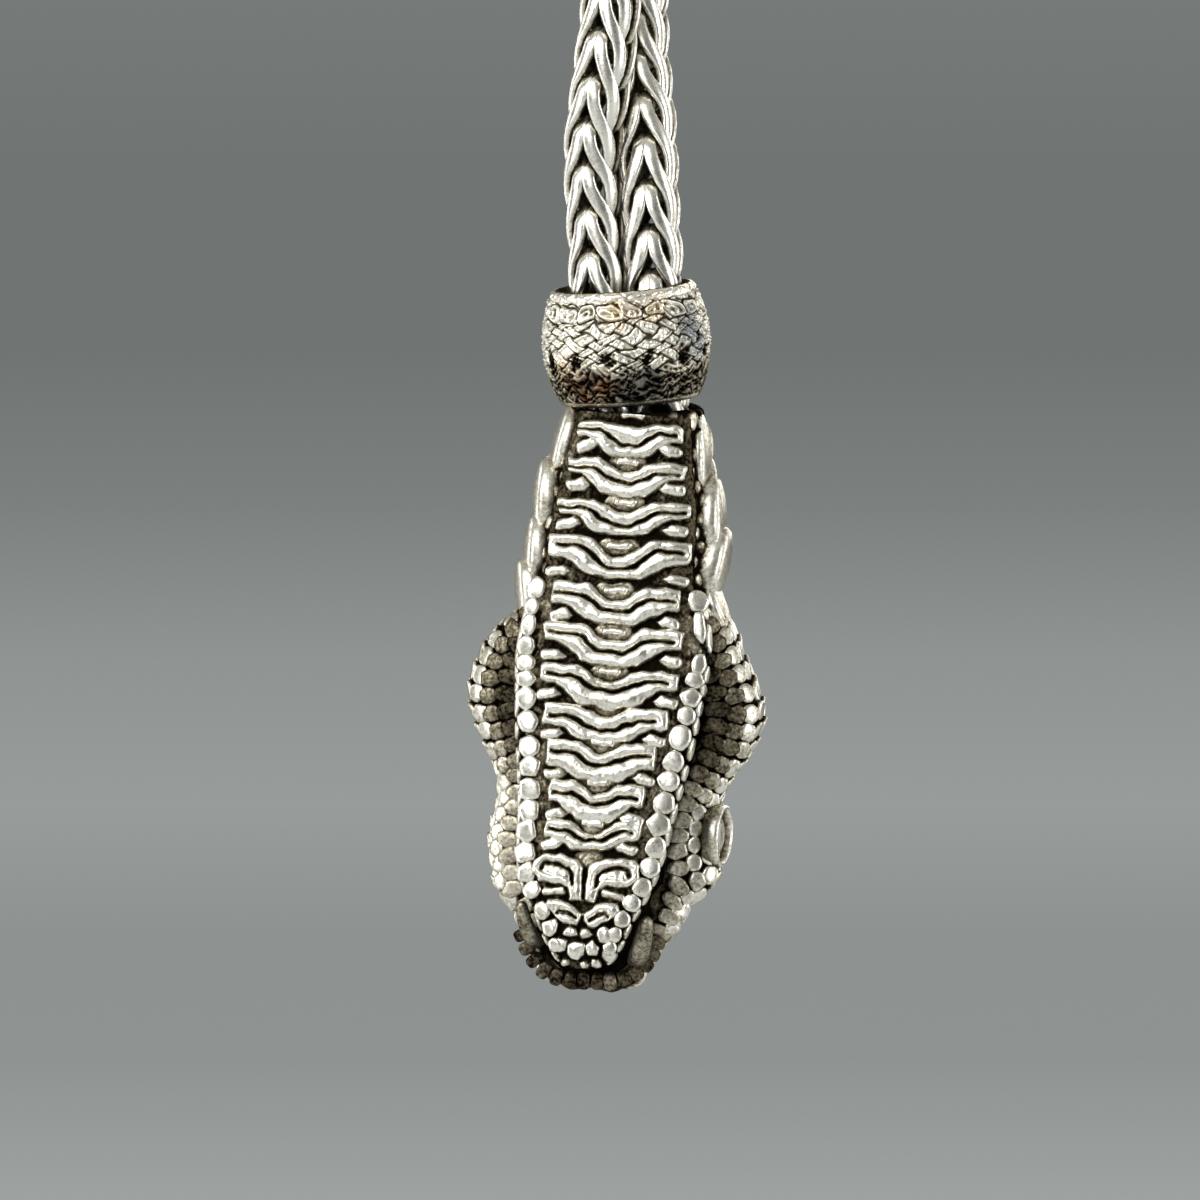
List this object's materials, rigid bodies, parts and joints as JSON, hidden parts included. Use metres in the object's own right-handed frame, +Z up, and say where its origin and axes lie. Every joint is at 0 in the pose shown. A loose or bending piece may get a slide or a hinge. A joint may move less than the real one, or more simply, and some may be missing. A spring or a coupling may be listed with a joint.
{
  "type": "snake head necklace",
  "caption": "Cast snake head pendant hung chin forward from woven strands that run through a loose barrel bead and join in a plain clasp.",
  "frame": {"origin": "under the clasp, at the top of the loop, where the necklace hangs on the back of the neck", "axes": "+Z up along the hanging necklace, -Y towards the viewer of the chin side, +X to the viewer's right"},
  "size_m": [0.1236, 0.0156, 0.2428],
  "materials": {
    "woven_silver": "oxidised sterling silver wire, polished on its outer faces",
    "plain_silver": "satin sterling silver",
    "patina_silver": "oxidised cast silver with golden patina",
    "cast_silver": "oxidised cast silver with polished relief"
  },
  "bodies": {
    "necklace": {"strand_left": "woven_silver", "strand_right": "woven_silver", "clasp": "plain_silver", "cross_pin": "plain_silver", "snake_head": "cast_silver"},
    "bead": {"bead": "patina_silver"}
  },
  "joints": [
    {"name": "bead_slide", "type": "slide", "parent": "necklace", "child": "bead", "axis": [-0.025, 0, 0.9997], "range_m": [0, 0.012]}
  ]
}
